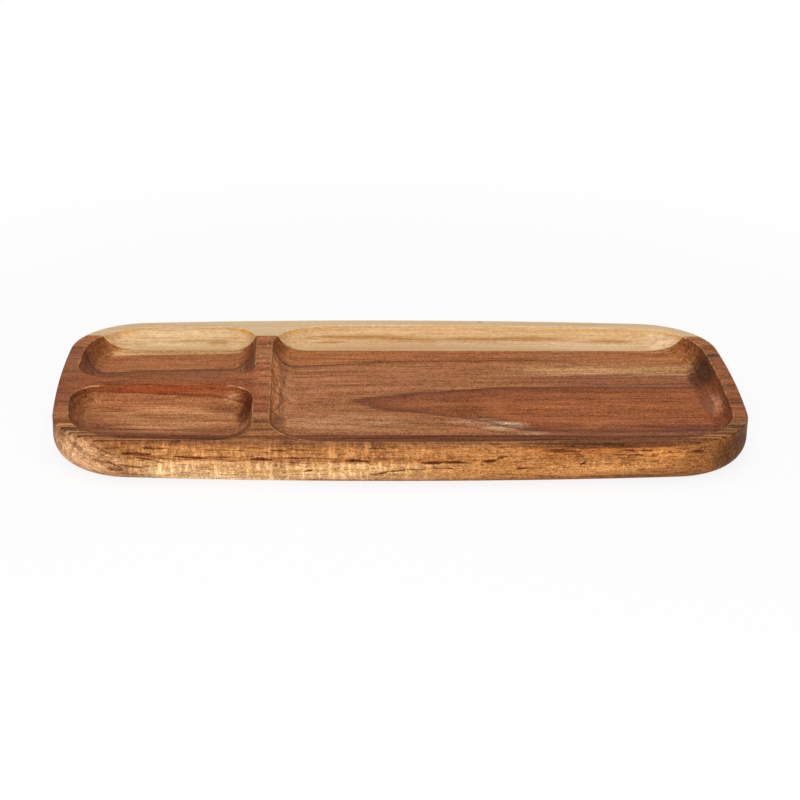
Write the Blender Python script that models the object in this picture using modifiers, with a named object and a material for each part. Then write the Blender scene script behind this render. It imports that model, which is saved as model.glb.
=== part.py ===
"""Compartment tray, edge glued from three wooden staves and machined from the solid.

The staves are glued into one board. The board is then cut to its bowed outline,
three compartments are routed into it with a round nosed cutter, its underside is
rounded over, and the edges of the rim are eased. The model follows the same order:
the machined form is made first, and each stave is the part of it that its blank holds.

The origin is under the middle of the tray. X runs along the staves, Y runs across
them to the rear, and Z is up.
"""
import math

import bmesh
import bpy
import numpy as np

MM = 0.001

# Finished board
LENGTH = 400 * MM
WIDTH = 200 * MM
THICKNESS = 25 * MM
SIDE_BOW = 9 * MM
END_BOW = 6.2 * MM
CORNER_RADIUS = 47 * MM
UNDERSIDE_RADIUS = 13 * MM
ARRIS_WIDTH = 1.2 * MM

# Staves, with the middle one as wide as the others and the glue leave it
REAR_STAVE_WIDTH = 28.5 * MM
FRONT_STAVE_WIDTH = 39.5 * MM
GLUE_THICKNESS = 0.2 * MM

# Compartments
COMPARTMENT_DEPTH = 10 * MM
CUTTER_RADIUS = 16 * MM
RIM_WIDTH = 8.5 * MM
REAR_RIM_WIDTH = 9.5 * MM
DIVIDER_X = -80.75 * MM
DIVIDER_WIDTH = 9.5 * MM
CROSS_DIVIDER_Y = -2.75 * MM
CROSS_DIVIDER_WIDTH = 10.5 * MM
MAIN_CORNER_RADIUS = 33 * MM
SMALL_CORNER_RADIUS = 21 * MM

# How far a cutter or a blank runs past the surface that it cuts
OVERRUN = 5 * MM

# Points closer than this are one point
MERGE_DISTANCE = 0.001 * MM

# Steps along the curves
CORNER_STEPS = 12
SIDE_STEPS = 12
COVE_STEPS = 8
UNDERSIDE_STEPS = 7
ARRIS_STEPS = 2
NEWTON_STEPS = 12

# Edges that turn more than this are the sharp edges of the rim
RIM_EDGE_ANGLE = math.radians(50)
SMOOTH_ANGLE = math.radians(30)

# Colours as red, green and blue from 0 to 255, with roughness
SAPWOOD = (211, 176, 134, 0.55)
HEARTWOOD = (156, 99, 63, 0.5)
STRIPED_HEARTWOOD = (172, 116, 68, 0.5)
GLUE = (104, 66, 42, 0.45)


class BowedSide:
    """A side of a plan that follows a large circle, with the plan inside it."""

    def __init__(self, centre, radius):
        self.centre = np.array(centre)
        self.radius = radius

    def inset(self, distance):
        return BowedSide(self.centre, self.radius - distance)

    def outward(self, point):
        ray = point - self.centre
        return ray / np.linalg.norm(ray)

    def past(self, point):
        """How far a point lies outside the side."""
        return np.linalg.norm(point - self.centre) - self.radius

    def points(self, start, end):
        """The points between the corner that ends at one angle and the next corner."""
        return arc_points(self.centre, self.radius, start, end, SIDE_STEPS)[1:-1]


class StraightSide:
    """A side of a plan that follows a line, given by its outward normal and reach."""

    def __init__(self, normal, reach):
        self.normal = np.array(normal)
        self.reach = reach

    def inset(self, distance):
        return StraightSide(self.normal, self.reach - distance)

    def outward(self, point):
        return self.normal

    def past(self, point):
        return self.normal @ point - self.reach

    def points(self, start, end):
        return []


def bow_radius(chord, bow):
    """The radius of the arc that rises by the bow over the chord."""
    return ((chord / 2) ** 2 + bow ** 2) / (2 * bow)


def arc_points(centre, radius, start, end, steps):
    """Points along an arc that turns counter-clockwise from start to end."""
    sweep = (end - start) % (2 * math.pi)
    angles = start + sweep * np.linspace(0, 1, steps + 1)
    return [centre + radius * np.array([math.cos(a), math.sin(a)]) for a in angles]


def corner_centre(side, following, radius):
    """The point that lies one corner radius inside both sides, by Newton's method."""
    point = np.zeros(2)
    for _ in range(NEWTON_STEPS):
        normals = np.array([side.outward(point), following.outward(point)])
        excess = np.array([side.past(point), following.past(point)]) + radius
        point = point - np.linalg.solve(normals, excess)
    return point


def plan_points(sides, corner_radii):
    """Points round a plan, counter-clockwise, with each corner after its side."""
    corners = []
    for index, radius in enumerate(corner_radii):
        side = sides[index]
        following = sides[(index + 1) % len(sides)]
        centre = corner_centre(side, following, radius)
        start = math.atan2(*side.outward(centre)[::-1])
        end = math.atan2(*following.outward(centre)[::-1])
        corners.append((centre, radius, start, end))
    points = []
    for index, (centre, radius, start, end) in enumerate(corners):
        next_side = sides[(index + 1) % len(sides)]
        next_start = corners[(index + 1) % len(corners)][2]
        points += arc_points(centre, radius, start, end, CORNER_STEPS)
        points += next_side.points(end, next_start)
    return points


# The four sides of the board, and where the staves meet
SIDE_RADIUS = bow_radius(LENGTH, SIDE_BOW)
END_RADIUS = bow_radius(WIDTH, END_BOW)
RIGHT_END = BowedSide((LENGTH / 2 - END_RADIUS, 0), END_RADIUS)
LEFT_END = BowedSide((END_RADIUS - LENGTH / 2, 0), END_RADIUS)
REAR_SIDE = BowedSide((0, WIDTH / 2 - SIDE_RADIUS), SIDE_RADIUS)
FRONT_SIDE = BowedSide((0, SIDE_RADIUS - WIDTH / 2), SIDE_RADIUS)
REAR_JOINT_Y = WIDTH / 2 - REAR_STAVE_WIDTH
FRONT_JOINT_Y = FRONT_STAVE_WIDTH - WIDTH / 2

# The cutter's nose reaches the rim before it is at its full width, so the path of
# its full width lies outside the compartment's rim by the spread
NOSE_ABOVE_RIM = max(CUTTER_RADIUS - COMPARTMENT_DEPTH, 0)
COVE_RUN = math.sqrt(CUTTER_RADIUS ** 2 - NOSE_ABOVE_RIM ** 2)
SPREAD = CUTTER_RADIUS - COVE_RUN


def new_collection(name):
    collection = bpy.data.collections.new(name)
    bpy.context.scene.collection.children.link(collection)
    return collection


def add_object(name, mesh, collection):
    obj = bpy.data.objects.new(name, mesh)
    collection.objects.link(obj)
    return obj


def as_guide(obj):
    """Mark an object as a cutter or a form that other pieces take their shape from."""
    obj.hide_render = True
    obj.display_type = "WIRE"
    return obj


def evaluated_mesh(obj):
    """The object's mesh with its modifiers applied."""
    bpy.context.view_layer.update()
    depsgraph = bpy.context.evaluated_depsgraph_get()
    return bpy.data.meshes.new_from_object(obj.evaluated_get(depsgraph))


def extruded_plan(name, points, bottom, top, collection):
    """A flat outline raised into a solid between two heights, with one face on each end."""
    curve = bpy.data.curves.new(name, "CURVE")
    curve.dimensions = "2D"
    curve.fill_mode = "BOTH"
    curve.extrude = (top - bottom) / 2
    spline = curve.splines.new("POLY")
    spline.points.add(len(points) - 1)
    spline.use_cyclic_u = True
    for spline_point, (x, y) in zip(spline.points, points):
        spline_point.co = (x, y, 0, 1)
    outline = add_object(name, curve, collection)
    mesh = evaluated_mesh(outline)
    bpy.data.objects.remove(outline)

    bm = bmesh.new()
    bm.from_mesh(mesh)
    bmesh.ops.remove_doubles(bm, verts=bm.verts, dist=MERGE_DISTANCE)
    for vert in bm.verts:
        vert.co.z = top if vert.co.z > 0 else bottom
    bm.normal_update()
    bmesh.ops.dissolve_edges(bm, edges=[e for e in bm.edges if lies_in_cap(e)])
    bm.to_mesh(mesh)
    bm.free()
    return add_object(name, mesh, collection)


def lies_in_cap(edge):
    """Whether an edge only divides a flat end of an extruded plan."""
    return all(abs(face.normal.z) > math.cos(SMOOTH_ANGLE) for face in edge.link_faces)


def round_lower_edge(obj, radius, steps):
    """Round the edge round the lowest face of an extruded plan."""
    bm = bmesh.new()
    bm.from_mesh(obj.data)
    bottom = min(vert.co.z for vert in bm.verts)
    edges = [e for e in bm.edges if all(vert.co.z == bottom for vert in e.verts)]
    bmesh.ops.bevel(bm, geom=edges, offset=radius, segments=steps, profile=0.5,
                    affect="EDGES", offset_type="OFFSET")
    bm.to_mesh(obj.data)
    bm.free()


def add_boolean(obj, other, operation):
    modifier = obj.modifiers.new(other.name, "BOOLEAN")
    modifier.object = other
    modifier.operation = operation
    modifier.solver = "EXACT"


def compartment_cutter(name, sides, corner_radii, collection):
    """The space that the round nosed cutter clears inside a compartment's rim."""
    path = [side.inset(-SPREAD) for side in sides]
    radii = [radius + SPREAD for radius in corner_radii]
    floor = THICKNESS - COMPARTMENT_DEPTH
    top = floor + max(CUTTER_RADIUS, COMPARTMENT_DEPTH) + OVERRUN
    cutter = extruded_plan(name, plan_points(path, radii), floor, top, collection)
    round_lower_edge(cutter, CUTTER_RADIUS, COVE_STEPS)
    return as_guide(cutter)


def compartment_cutters(collection):
    """One large compartment to the right of the divider and two small ones to its left."""
    right = RIGHT_END.inset(RIM_WIDTH)
    left = LEFT_END.inset(RIM_WIDTH)
    rear = REAR_SIDE.inset(REAR_RIM_WIDTH)
    front = FRONT_SIDE.inset(RIM_WIDTH)
    divider_right = StraightSide((-1, 0), -DIVIDER_X - DIVIDER_WIDTH / 2)
    divider_left = StraightSide((1, 0), DIVIDER_X - DIVIDER_WIDTH / 2)
    cross_rear = StraightSide((0, -1), -CROSS_DIVIDER_Y - CROSS_DIVIDER_WIDTH / 2)
    cross_front = StraightSide((0, 1), CROSS_DIVIDER_Y - CROSS_DIVIDER_WIDTH / 2)
    outer = CORNER_RADIUS - RIM_WIDTH
    main = MAIN_CORNER_RADIUS
    small = SMALL_CORNER_RADIUS
    plans = {
        "main_compartment": ((right, rear, divider_right, front), (outer, main, main, outer)),
        "rear_compartment": ((divider_left, rear, left, cross_rear), (small, outer, small, small)),
        "front_compartment": ((divider_left, cross_front, left, front), (small, small, outer, small)),
    }
    return [compartment_cutter(name, sides, radii, collection)
            for name, (sides, radii) in plans.items()]


def machined_form(collection):
    """The whole board as it leaves the router: outline, compartments and eased edges."""
    sides = (RIGHT_END, REAR_SIDE, LEFT_END, FRONT_SIDE)
    points = plan_points(sides, [CORNER_RADIUS] * len(sides))
    form = extruded_plan("machined_form", points, 0, THICKNESS, collection)
    round_lower_edge(form, UNDERSIDE_RADIUS, UNDERSIDE_STEPS)
    for cutter in compartment_cutters(collection):
        add_boolean(form, cutter, "DIFFERENCE")
    arris = form.modifiers.new("arris", "BEVEL")
    arris.limit_method = "ANGLE"
    arris.angle_limit = RIM_EDGE_ANGLE
    arris.width = ARRIS_WIDTH
    arris.segments = ARRIS_STEPS
    arris.use_clamp_overlap = False
    return as_guide(form)


def wood_material(name, finish):
    """A plain Principled material from a colour in 0 to 255 and a roughness."""
    *colour, roughness = finish
    material = bpy.data.materials.new(name)
    material.use_nodes = True
    shader = material.node_tree.nodes["Principled BSDF"]
    linear = [((c / 255 + 0.055) / 1.055) ** 2.4 for c in colour]
    shader.inputs["Base Color"].default_value = (*linear, 1)
    shader.inputs["Roughness"].default_value = roughness
    shader.inputs["Metallic"].default_value = 0
    material.diffuse_color = (*linear, 1)
    return material


def cut_from_board(name, front, rear, finish, form, collection):
    """The slice of the machined form that a blank between two Y places holds."""
    low = (-LENGTH / 2 - OVERRUN, front, -OVERRUN)
    high = (LENGTH / 2 + OVERRUN, rear, THICKNESS + OVERRUN)
    bm = bmesh.new()
    bmesh.ops.create_cube(bm, size=1)
    for vert in bm.verts:
        vert.co = [high[axis] if vert.co[axis] > 0 else low[axis] for axis in range(3)]
    blank = bpy.data.meshes.new(name)
    bm.to_mesh(blank)
    bm.free()
    piece = add_object(name, blank, collection)
    add_boolean(piece, form, "INTERSECT")
    mesh = evaluated_mesh(piece)
    mesh.name = name
    mesh.shade_smooth()
    mesh.set_sharp_from_angle(angle=SMOOTH_ANGLE)
    mesh.materials.clear()
    mesh.materials.append(wood_material(name, finish))
    piece.modifiers.clear()
    piece.data = mesh
    return piece


def main():
    for obj in list(bpy.data.objects):
        bpy.data.objects.remove(obj)
    tray = new_collection("compartment_tray")
    form = machined_form(new_collection("cutters"))
    rear_edge = WIDTH / 2 + OVERRUN
    middle_rear = REAR_JOINT_Y - GLUE_THICKNESS
    middle_front = FRONT_JOINT_Y + GLUE_THICKNESS
    cut_from_board("rear_stave", REAR_JOINT_Y, rear_edge, SAPWOOD, form, tray)
    cut_from_board("rear_glue_line", middle_rear, REAR_JOINT_Y, GLUE, form, tray)
    cut_from_board("middle_stave", middle_front, middle_rear, HEARTWOOD, form, tray)
    cut_from_board("front_glue_line", FRONT_JOINT_Y, middle_front, GLUE, form, tray)
    cut_from_board("front_stave", -rear_edge, FRONT_JOINT_Y, STRIPED_HEARTWOOD, form, tray)


main()
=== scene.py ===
"""Compartment tray, the visual model.

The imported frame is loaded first, and each of its staves and glue lines is replaced by
a finer one that is cut from the same machined board. The woods are solid patterns in
the board's own millimetres, so their grain runs on from the rim down the walls and
across the floors. The origin is under the middle of the tray. X runs along the staves,
Y across them to the rear, and Z is up.
"""
import math

import bmesh
import bpy
import numpy as np
from bpy.props import FloatProperty, FloatVectorProperty, IntProperty, PointerProperty
from mathutils import Matrix, Vector


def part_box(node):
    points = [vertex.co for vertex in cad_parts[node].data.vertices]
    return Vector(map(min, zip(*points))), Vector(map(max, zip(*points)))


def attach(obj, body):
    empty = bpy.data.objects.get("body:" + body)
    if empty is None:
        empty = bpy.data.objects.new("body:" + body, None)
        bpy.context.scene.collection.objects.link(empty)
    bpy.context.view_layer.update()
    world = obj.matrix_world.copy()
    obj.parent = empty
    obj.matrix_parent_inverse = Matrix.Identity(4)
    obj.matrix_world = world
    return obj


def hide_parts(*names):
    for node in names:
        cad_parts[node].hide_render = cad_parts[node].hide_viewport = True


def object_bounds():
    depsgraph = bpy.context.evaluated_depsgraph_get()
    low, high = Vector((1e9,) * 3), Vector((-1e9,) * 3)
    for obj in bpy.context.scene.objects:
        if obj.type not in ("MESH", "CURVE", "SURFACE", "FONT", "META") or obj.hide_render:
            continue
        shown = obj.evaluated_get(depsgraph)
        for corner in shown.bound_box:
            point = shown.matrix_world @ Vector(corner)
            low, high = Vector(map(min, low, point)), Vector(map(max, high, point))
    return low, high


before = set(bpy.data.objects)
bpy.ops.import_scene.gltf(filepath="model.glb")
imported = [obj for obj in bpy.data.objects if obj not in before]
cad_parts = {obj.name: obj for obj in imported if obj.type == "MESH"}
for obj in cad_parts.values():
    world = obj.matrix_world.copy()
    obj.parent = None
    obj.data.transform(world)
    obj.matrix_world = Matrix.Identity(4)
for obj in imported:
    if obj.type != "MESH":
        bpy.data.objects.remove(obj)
CAD_LOW, CAD_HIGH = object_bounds()

bl_info = {
    "name": "Compartment Tray",
    "version": (1, 0, 0),
    "blender": (4, 5, 0),
    "location": "3D View > Sidebar > Tray",
    "description": "Makes a wooden serving tray of three glued staves, and a studio round it",
    "category": "Add Mesh",
}

MM = 0.001
BOARD_NAME = "machined_board"


def linear(red, green, blue):
    """A colour from 0 to 255 on a screen, as linear red, green and blue."""
    def channel(value):
        value /= 255
        return value / 12.92 if value <= 0.04045 else ((value + 0.055) / 1.055) ** 2.4
    return channel(red), channel(green), channel(blue)


def size_property(name, description, millimetres):
    return FloatProperty(name=name, description=description, default=millimetres * MM,
                         min=0, precision=4, unit="LENGTH", subtype="DISTANCE")


def place_property(name, description, metres):
    return FloatProperty(name=name, description=description, default=metres,
                         precision=4, unit="LENGTH", subtype="DISTANCE")


def colour_property(name, description, red, green, blue):
    return FloatVectorProperty(name=name, description=description, size=3, min=0, max=1,
                               subtype="COLOR", default=linear(red, green, blue))


def steps_property(name, description, steps):
    return IntProperty(name=name, description=description, default=steps, min=1)


class TrayBoardSizes(bpy.types.PropertyGroup):
    """Sizes of the glued board once it is cut to its outline."""
    length: place_property("Length", "Length over the bowed ends", CAD_HIGH.x - CAD_LOW.x)
    width: place_property("Width", "Width over the bowed sides", CAD_HIGH.y - CAD_LOW.y)
    thickness: place_property("Thickness", "Height of the rim", CAD_HIGH.z - CAD_LOW.z)
    side_bow: size_property("Side bow", "How far the long sides bow out", 9)
    end_bow: size_property("End bow", "How far the ends bow out", 6.2)
    corner_radius: size_property("Corner radius", "Radius of the corners in plan", 47)
    underside_radius: size_property("Underside radius", "Round of the lower edge", 13)
    arris_width: size_property("Arris width", "Ease of the edges of the rim", 1.2)


class TrayCompartmentSizes(bpy.types.PropertyGroup):
    """Sizes of the three compartments and of the wood between them."""
    depth: size_property("Depth", "Depth of the floors below the rim", 10)
    cutter_radius: size_property("Cutter radius", "Radius of the round nosed cutter", 16)
    rim_width: size_property("Rim width", "Width of the rim at the front and ends", 8.5)
    rear_rim_width: size_property("Rear rim width", "Width of the rim at the rear", 9.5)
    divider_x: place_property("Divider place", "Middle of the divider", -80.75 * MM)
    divider_width: size_property("Divider width", "Width of the divider", 9.5)
    cross_y: place_property("Cross divider place", "Middle of the cross divider", -2.75 * MM)
    cross_width: size_property("Cross divider width", "Width of the cross divider", 10.5)
    main_corner: size_property("Main corner", "Inner corners of the large compartment", 33)
    small_corner: size_property("Small corner", "Inner corners of the small ones", 21)


class TrayCurveSteps(bpy.types.PropertyGroup):
    """How finely the curves of the board are divided."""
    corner: steps_property("Corner steps", "Steps round each corner", 40)
    side: steps_property("Side steps", "Steps along each bowed side", 40)
    cove: steps_property("Cove steps", "Steps up each coved wall", 22)
    underside: steps_property("Underside steps", "Steps round the lower edge", 20)
    arris: steps_property("Arris steps", "Steps over each eased edge", 4)


class TrayWoodColours(bpy.types.PropertyGroup):
    """The main colours of the oiled woods and of the glue."""
    # The rim's colour is the sapwood's tone with a painted sheen, paler and greyer than on the walls
    sapwood_rim_with_sheen: colour_property("Sapwood rim", "Rear stave on the rim", 217, 186, 146)
    sapwood_wall: colour_property("Sapwood wall", "Rear stave on the walls", 216, 177, 129)
    sapwood_ochre: colour_property("Sapwood ochre", "Rings of the rear stave", 188, 140, 88)
    heartwood: colour_property("Heartwood", "Middle stave", 164, 107, 70)
    heartwood_rear: colour_property("Heartwood rear", "Middle stave towards the rear", 165, 104, 65)
    heartwood_core: colour_property("Heartwood core", "Inside the cathedral", 150, 87, 51)
    growth_line: colour_property("Growth line", "Dark line of a growth ring", 92, 49, 31)
    golden_left: colour_property("Golden left", "Left half of the front side", 212, 166, 116)
    golden_right: colour_property("Golden right", "Right half of the front side", 187, 129, 76)
    front_rim: colour_property("Front rim", "Front stave on the rim", 161, 107, 64)
    stripe: colour_property("Stripe", "Dark stripes of the front stave", 104, 58, 32)
    streak: colour_property("Streak", "Ragged streaks in the front side", 88, 44, 22)
    glue_dark: colour_property("Dark glue", "Darker part of the glue", 92, 58, 38)
    glue_light: colour_property("Light glue", "Lighter part of the glue", 120, 78, 50)


class TrayStudioSettings(bpy.types.PropertyGroup):
    """The light and the floor round the tray."""
    overhead_power: FloatProperty(name="Overhead light", description="Power of the softbox above",
                                  default=10.0, min=0, subtype="POWER", unit="POWER")
    front_power: FloatProperty(name="Front light", description="Power of the low front softbox",
                               default=15.0, min=0, subtype="POWER", unit="POWER")
    room_light: FloatProperty(name="Room light", description="Even light from all round",
                              default=0.36, min=0, max=1, subtype="FACTOR")
    floor_colour: FloatVectorProperty(name="Floor colour", description="Colour of the paper",
                                      size=3, min=0, max=1, subtype="COLOR",
                                      default=(0.93, 0.93, 0.93))
    floor_glow: FloatProperty(name="Floor glow", description="Share of the floor seen as white",
                              default=0.87, min=0, max=1, subtype="FACTOR")


# How far a cutter or a blank runs past the surface that it cuts
OVERRUN = 5 * MM

# Points closer than this are one point
MERGE_DISTANCE = 0.001 * MM

NEWTON_STEPS = 12

# Edges that turn more than this are the sharp edges of the rim
RIM_EDGE_ANGLE = math.radians(50)
SMOOTH_ANGLE = math.radians(30)


class BowedSide:
    """A side of a plan that follows a large circle, with the plan inside it."""

    def __init__(self, centre, radius, steps):
        self.centre = np.array(centre)
        self.radius = radius
        self.steps = steps

    def inset(self, distance):
        return BowedSide(self.centre, self.radius - distance, self.steps)

    def outward(self, point):
        ray = point - self.centre
        return ray / np.linalg.norm(ray)

    def past(self, point):
        """How far a point lies outside the side."""
        return np.linalg.norm(point - self.centre) - self.radius

    def points(self, start, end):
        """The points between the corner that ends at one angle and the next corner."""
        return arc_points(self.centre, self.radius, start, end, self.steps)[1:-1]


class StraightSide:
    """A side of a plan that follows a line, given by its outward normal and reach."""

    def __init__(self, normal, reach):
        self.normal = np.array(normal)
        self.reach = reach

    def inset(self, distance):
        return StraightSide(self.normal, self.reach - distance)

    def outward(self, point):
        return self.normal

    def past(self, point):
        return self.normal @ point - self.reach

    def points(self, start, end):
        return []


def bow_radius(chord, bow):
    """The radius of the arc that rises by the bow over the chord."""
    return ((chord / 2) ** 2 + bow ** 2) / (2 * bow)


def arc_points(centre, radius, start, end, steps):
    """Points along an arc that turns counter-clockwise from start to end."""
    sweep = (end - start) % (2 * math.pi)
    angles = start + sweep * np.linspace(0, 1, steps + 1)
    return [centre + radius * np.array([math.cos(a), math.sin(a)]) for a in angles]


def corner_centre(side, following, radius):
    """The point that lies one corner radius inside both sides, by Newton's method."""
    point = np.zeros(2)
    for _ in range(NEWTON_STEPS):
        normals = np.array([side.outward(point), following.outward(point)])
        excess = np.array([side.past(point), following.past(point)]) + radius
        point = point - np.linalg.solve(normals, excess)
    return point


def plan_points(sides, corner_radii, corner_steps):
    """Points round a plan, counter-clockwise, with each corner after its side."""
    corners = []
    for index, radius in enumerate(corner_radii):
        side = sides[index]
        following = sides[(index + 1) % len(sides)]
        centre = corner_centre(side, following, radius)
        start = math.atan2(*side.outward(centre)[::-1])
        end = math.atan2(*following.outward(centre)[::-1])
        corners.append((centre, radius, start, end))
    points = []
    for index, (centre, radius, start, end) in enumerate(corners):
        next_side = sides[(index + 1) % len(sides)]
        next_start = corners[(index + 1) % len(corners)][2]
        points += arc_points(centre, radius, start, end, corner_steps)
        points += next_side.points(end, next_start)
    return points


def board_sides(board, steps):
    """The right end, rear side, left end and front side of the board."""
    side = bow_radius(board.length, board.side_bow)
    end = bow_radius(board.width, board.end_bow)
    half_length = board.length / 2
    half_width = board.width / 2
    return (BowedSide((half_length - end, 0), end, steps),
            BowedSide((0, half_width - side), side, steps),
            BowedSide((end - half_length, 0), end, steps),
            BowedSide((0, side - half_width), side, steps))


def add_object(name, data):
    obj = bpy.data.objects.new(name, data)
    bpy.context.scene.collection.objects.link(obj)
    return obj


def built_mesh(name, bm):
    """A new mesh of what was built, which is let go."""
    mesh = bpy.data.meshes.new(name)
    bm.to_mesh(mesh)
    bm.free()
    return mesh


def evaluated_mesh(obj):
    """The object's mesh with its modifiers applied."""
    bpy.context.view_layer.update()
    depsgraph = bpy.context.evaluated_depsgraph_get()
    return bpy.data.meshes.new_from_object(obj.evaluated_get(depsgraph),
                                           preserve_all_data_layers=True,
                                           depsgraph=depsgraph)


def extruded_plan(name, points, bottom, top):
    """A flat outline raised into a solid between two heights, with one face on each end."""
    bm = bmesh.new()
    low = [bm.verts.new((x, y, bottom)) for x, y in points]
    high = [bm.verts.new((x, y, top)) for x, y in points]
    bm.faces.new(low[::-1])
    bm.faces.new(high)
    for index in range(len(points)):
        after = (index + 1) % len(points)
        bm.faces.new((low[index], low[after], high[after], high[index]))
    bm.normal_update()
    return add_object(name, built_mesh(name, bm))


def round_lower_edge(obj, radius, steps):
    """Round the edge round the lowest face of an extruded plan."""
    bm = bmesh.new()
    bm.from_mesh(obj.data)
    bottom = min(vert.co.z for vert in bm.verts)
    edges = [e for e in bm.edges if all(vert.co.z == bottom for vert in e.verts)]
    bmesh.ops.bevel(bm, geom=edges, offset=radius, segments=steps, profile=0.5,
                    affect="EDGES", offset_type="OFFSET")
    bm.to_mesh(obj.data)
    bm.free()


def compartment_plans(board, compartments, steps):
    """One large compartment to the right of the divider and two small ones to its left."""
    right, rear, left, front = board_sides(board, steps.side)
    right = right.inset(compartments.rim_width)
    left = left.inset(compartments.rim_width)
    rear = rear.inset(compartments.rear_rim_width)
    front = front.inset(compartments.rim_width)
    half = compartments.divider_width / 2
    divider_right = StraightSide((-1, 0), -compartments.divider_x - half)
    divider_left = StraightSide((1, 0), compartments.divider_x - half)
    half = compartments.cross_width / 2
    cross_rear = StraightSide((0, -1), -compartments.cross_y - half)
    cross_front = StraightSide((0, 1), compartments.cross_y - half)
    outer = board.corner_radius - compartments.rim_width
    main = compartments.main_corner
    small = compartments.small_corner
    return {
        "main_compartment": ((right, rear, divider_right, front), (outer, main, main, outer)),
        "rear_compartment": ((divider_left, rear, left, cross_rear), (small, outer, small, small)),
        "front_compartment": ((divider_left, cross_front, left, front), (small, small, outer, small)),
    }


def compartment_cutter(name, sides, corner_radii, board, compartments, steps):
    """The space that the round nosed cutter clears inside a compartment's rim.

    The cutter's nose reaches the rim before it is at its full width, so the path of
    its full width lies outside the compartment's rim by the spread.
    """
    nose = compartments.cutter_radius
    nose_above_rim = max(nose - compartments.depth, 0)
    spread = nose - math.sqrt(nose ** 2 - nose_above_rim ** 2)
    path = [side.inset(-spread) for side in sides]
    radii = [radius + spread for radius in corner_radii]
    floor = board.thickness - compartments.depth
    top = floor + max(nose, compartments.depth) + OVERRUN
    cutter = extruded_plan(name, plan_points(path, radii, steps.corner), floor, top)
    round_lower_edge(cutter, nose, steps.cove)
    return cutter


def add_boolean(obj, other, operation):
    modifier = obj.modifiers.new(other.name, "BOOLEAN")
    modifier.object = other
    modifier.operation = operation
    modifier.solver = "EXACT"


def stave_cutting_tree():
    """A node tree that keeps the slice of a board that a blank between two places holds."""
    tree = bpy.data.node_groups.new("stave_from_board", "GeometryNodeTree")
    sockets = tree.interface
    sockets.new_socket("Geometry", in_out="OUTPUT", socket_type="NodeSocketGeometry")
    sockets.new_socket("Board", in_out="INPUT", socket_type="NodeSocketObject")
    for name in ("Front", "Rear", "Length", "Height"):
        socket = sockets.new_socket(name, in_out="INPUT", socket_type="NodeSocketFloat")
        socket.subtype = "DISTANCE"
    sockets.new_socket("Finish", in_out="INPUT", socket_type="NodeSocketMaterial")
    wires = Wiring(tree)
    given = wires.node("NodeGroupInput").outputs
    width = wires.math("SUBTRACT", given["Rear"], given["Front"])
    middle = wires.math("MULTIPLY_ADD", width, 0.5, given["Front"])
    blank = wires.node("GeometryNodeMeshCube",
                       {"Size": wires.vector(given["Length"], width, given["Height"])})
    placed = wires.node("GeometryNodeTransform", {"Geometry": blank.outputs["Mesh"],
                                                  "Translation": wires.vector(0, middle, 0)})
    board = wires.node("GeometryNodeObjectInfo", {"Object": given["Board"]},
                       transform_space="ORIGINAL")
    held = wires.node("GeometryNodeMeshBoolean", operation="INTERSECT", solver="EXACT")
    for source in (placed, board):
        wires.feed(held.inputs["Mesh 2"], source.outputs["Geometry"])
    merged = wires.node("GeometryNodeMergeByDistance", {"Geometry": held.outputs["Mesh"],
                                                        "Distance": MERGE_DISTANCE})
    turn = wires.node("GeometryNodeInputMeshEdgeAngle").outputs["Unsigned Angle"]
    gentle = wires.node("FunctionNodeCompare", {0: turn, 1: SMOOTH_ANGLE}, data_type="FLOAT",
                        operation="LESS_THAN")
    edges = wires.node("GeometryNodeSetShadeSmooth", {"Geometry": merged.outputs["Geometry"],
                                                      "Shade Smooth": gentle.outputs["Result"]},
                       domain="EDGE")
    faces = wires.node("GeometryNodeSetShadeSmooth", {"Geometry": edges.outputs["Geometry"]},
                       domain="FACE")
    real = wires.node("GeometryNodeRealizeInstances", {"Geometry": faces.outputs["Geometry"]})
    finish = wires.node("GeometryNodeSetMaterial", {"Geometry": real.outputs["Geometry"],
                                                    "Material": given["Finish"]})
    wires.node("NodeGroupOutput", {"Geometry": finish.outputs["Geometry"]})
    return tree


def set_modifier_inputs(modifier, values):
    """Set a node modifier's inputs, which it keeps under their sockets' identifiers."""
    for item in modifier.node_group.interface.items_tree:
        if item.in_out == "INPUT" and item.name in values:
            modifier[item.identifier] = values[item.name]


def cut_stave(name, front, rear, material):
    """Cut one piece from the machined board and let it stand for its CAD node."""
    board = bpy.context.scene.tray_board
    form = bpy.data.objects.get(BOARD_NAME)
    if form is None:
        raise RuntimeError("machine the board before a stave is cut from it")
    tree = bpy.data.node_groups.get("stave_from_board") or stave_cutting_tree()
    piece = add_object(name + "_finished", bpy.data.meshes.new(name))
    cutting = piece.modifiers.new("cut from the board", "NODES")
    cutting.node_group = tree
    set_modifier_inputs(cutting, {
        "Board": form,
        "Front": front,
        "Rear": rear,
        "Length": board.length + 2 * OVERRUN,
        "Height": 2 * (board.thickness + OVERRUN),
        "Finish": material,
    })
    shading = piece.modifiers.new("flat faces shade flat", "WEIGHTED_NORMAL")
    shading.keep_sharp = True
    mesh = evaluated_mesh(piece)
    mesh.name = name + "_finished"
    piece.modifiers.clear()
    piece.data = mesh
    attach(piece, "root")
    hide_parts(name)
    return piece


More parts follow.
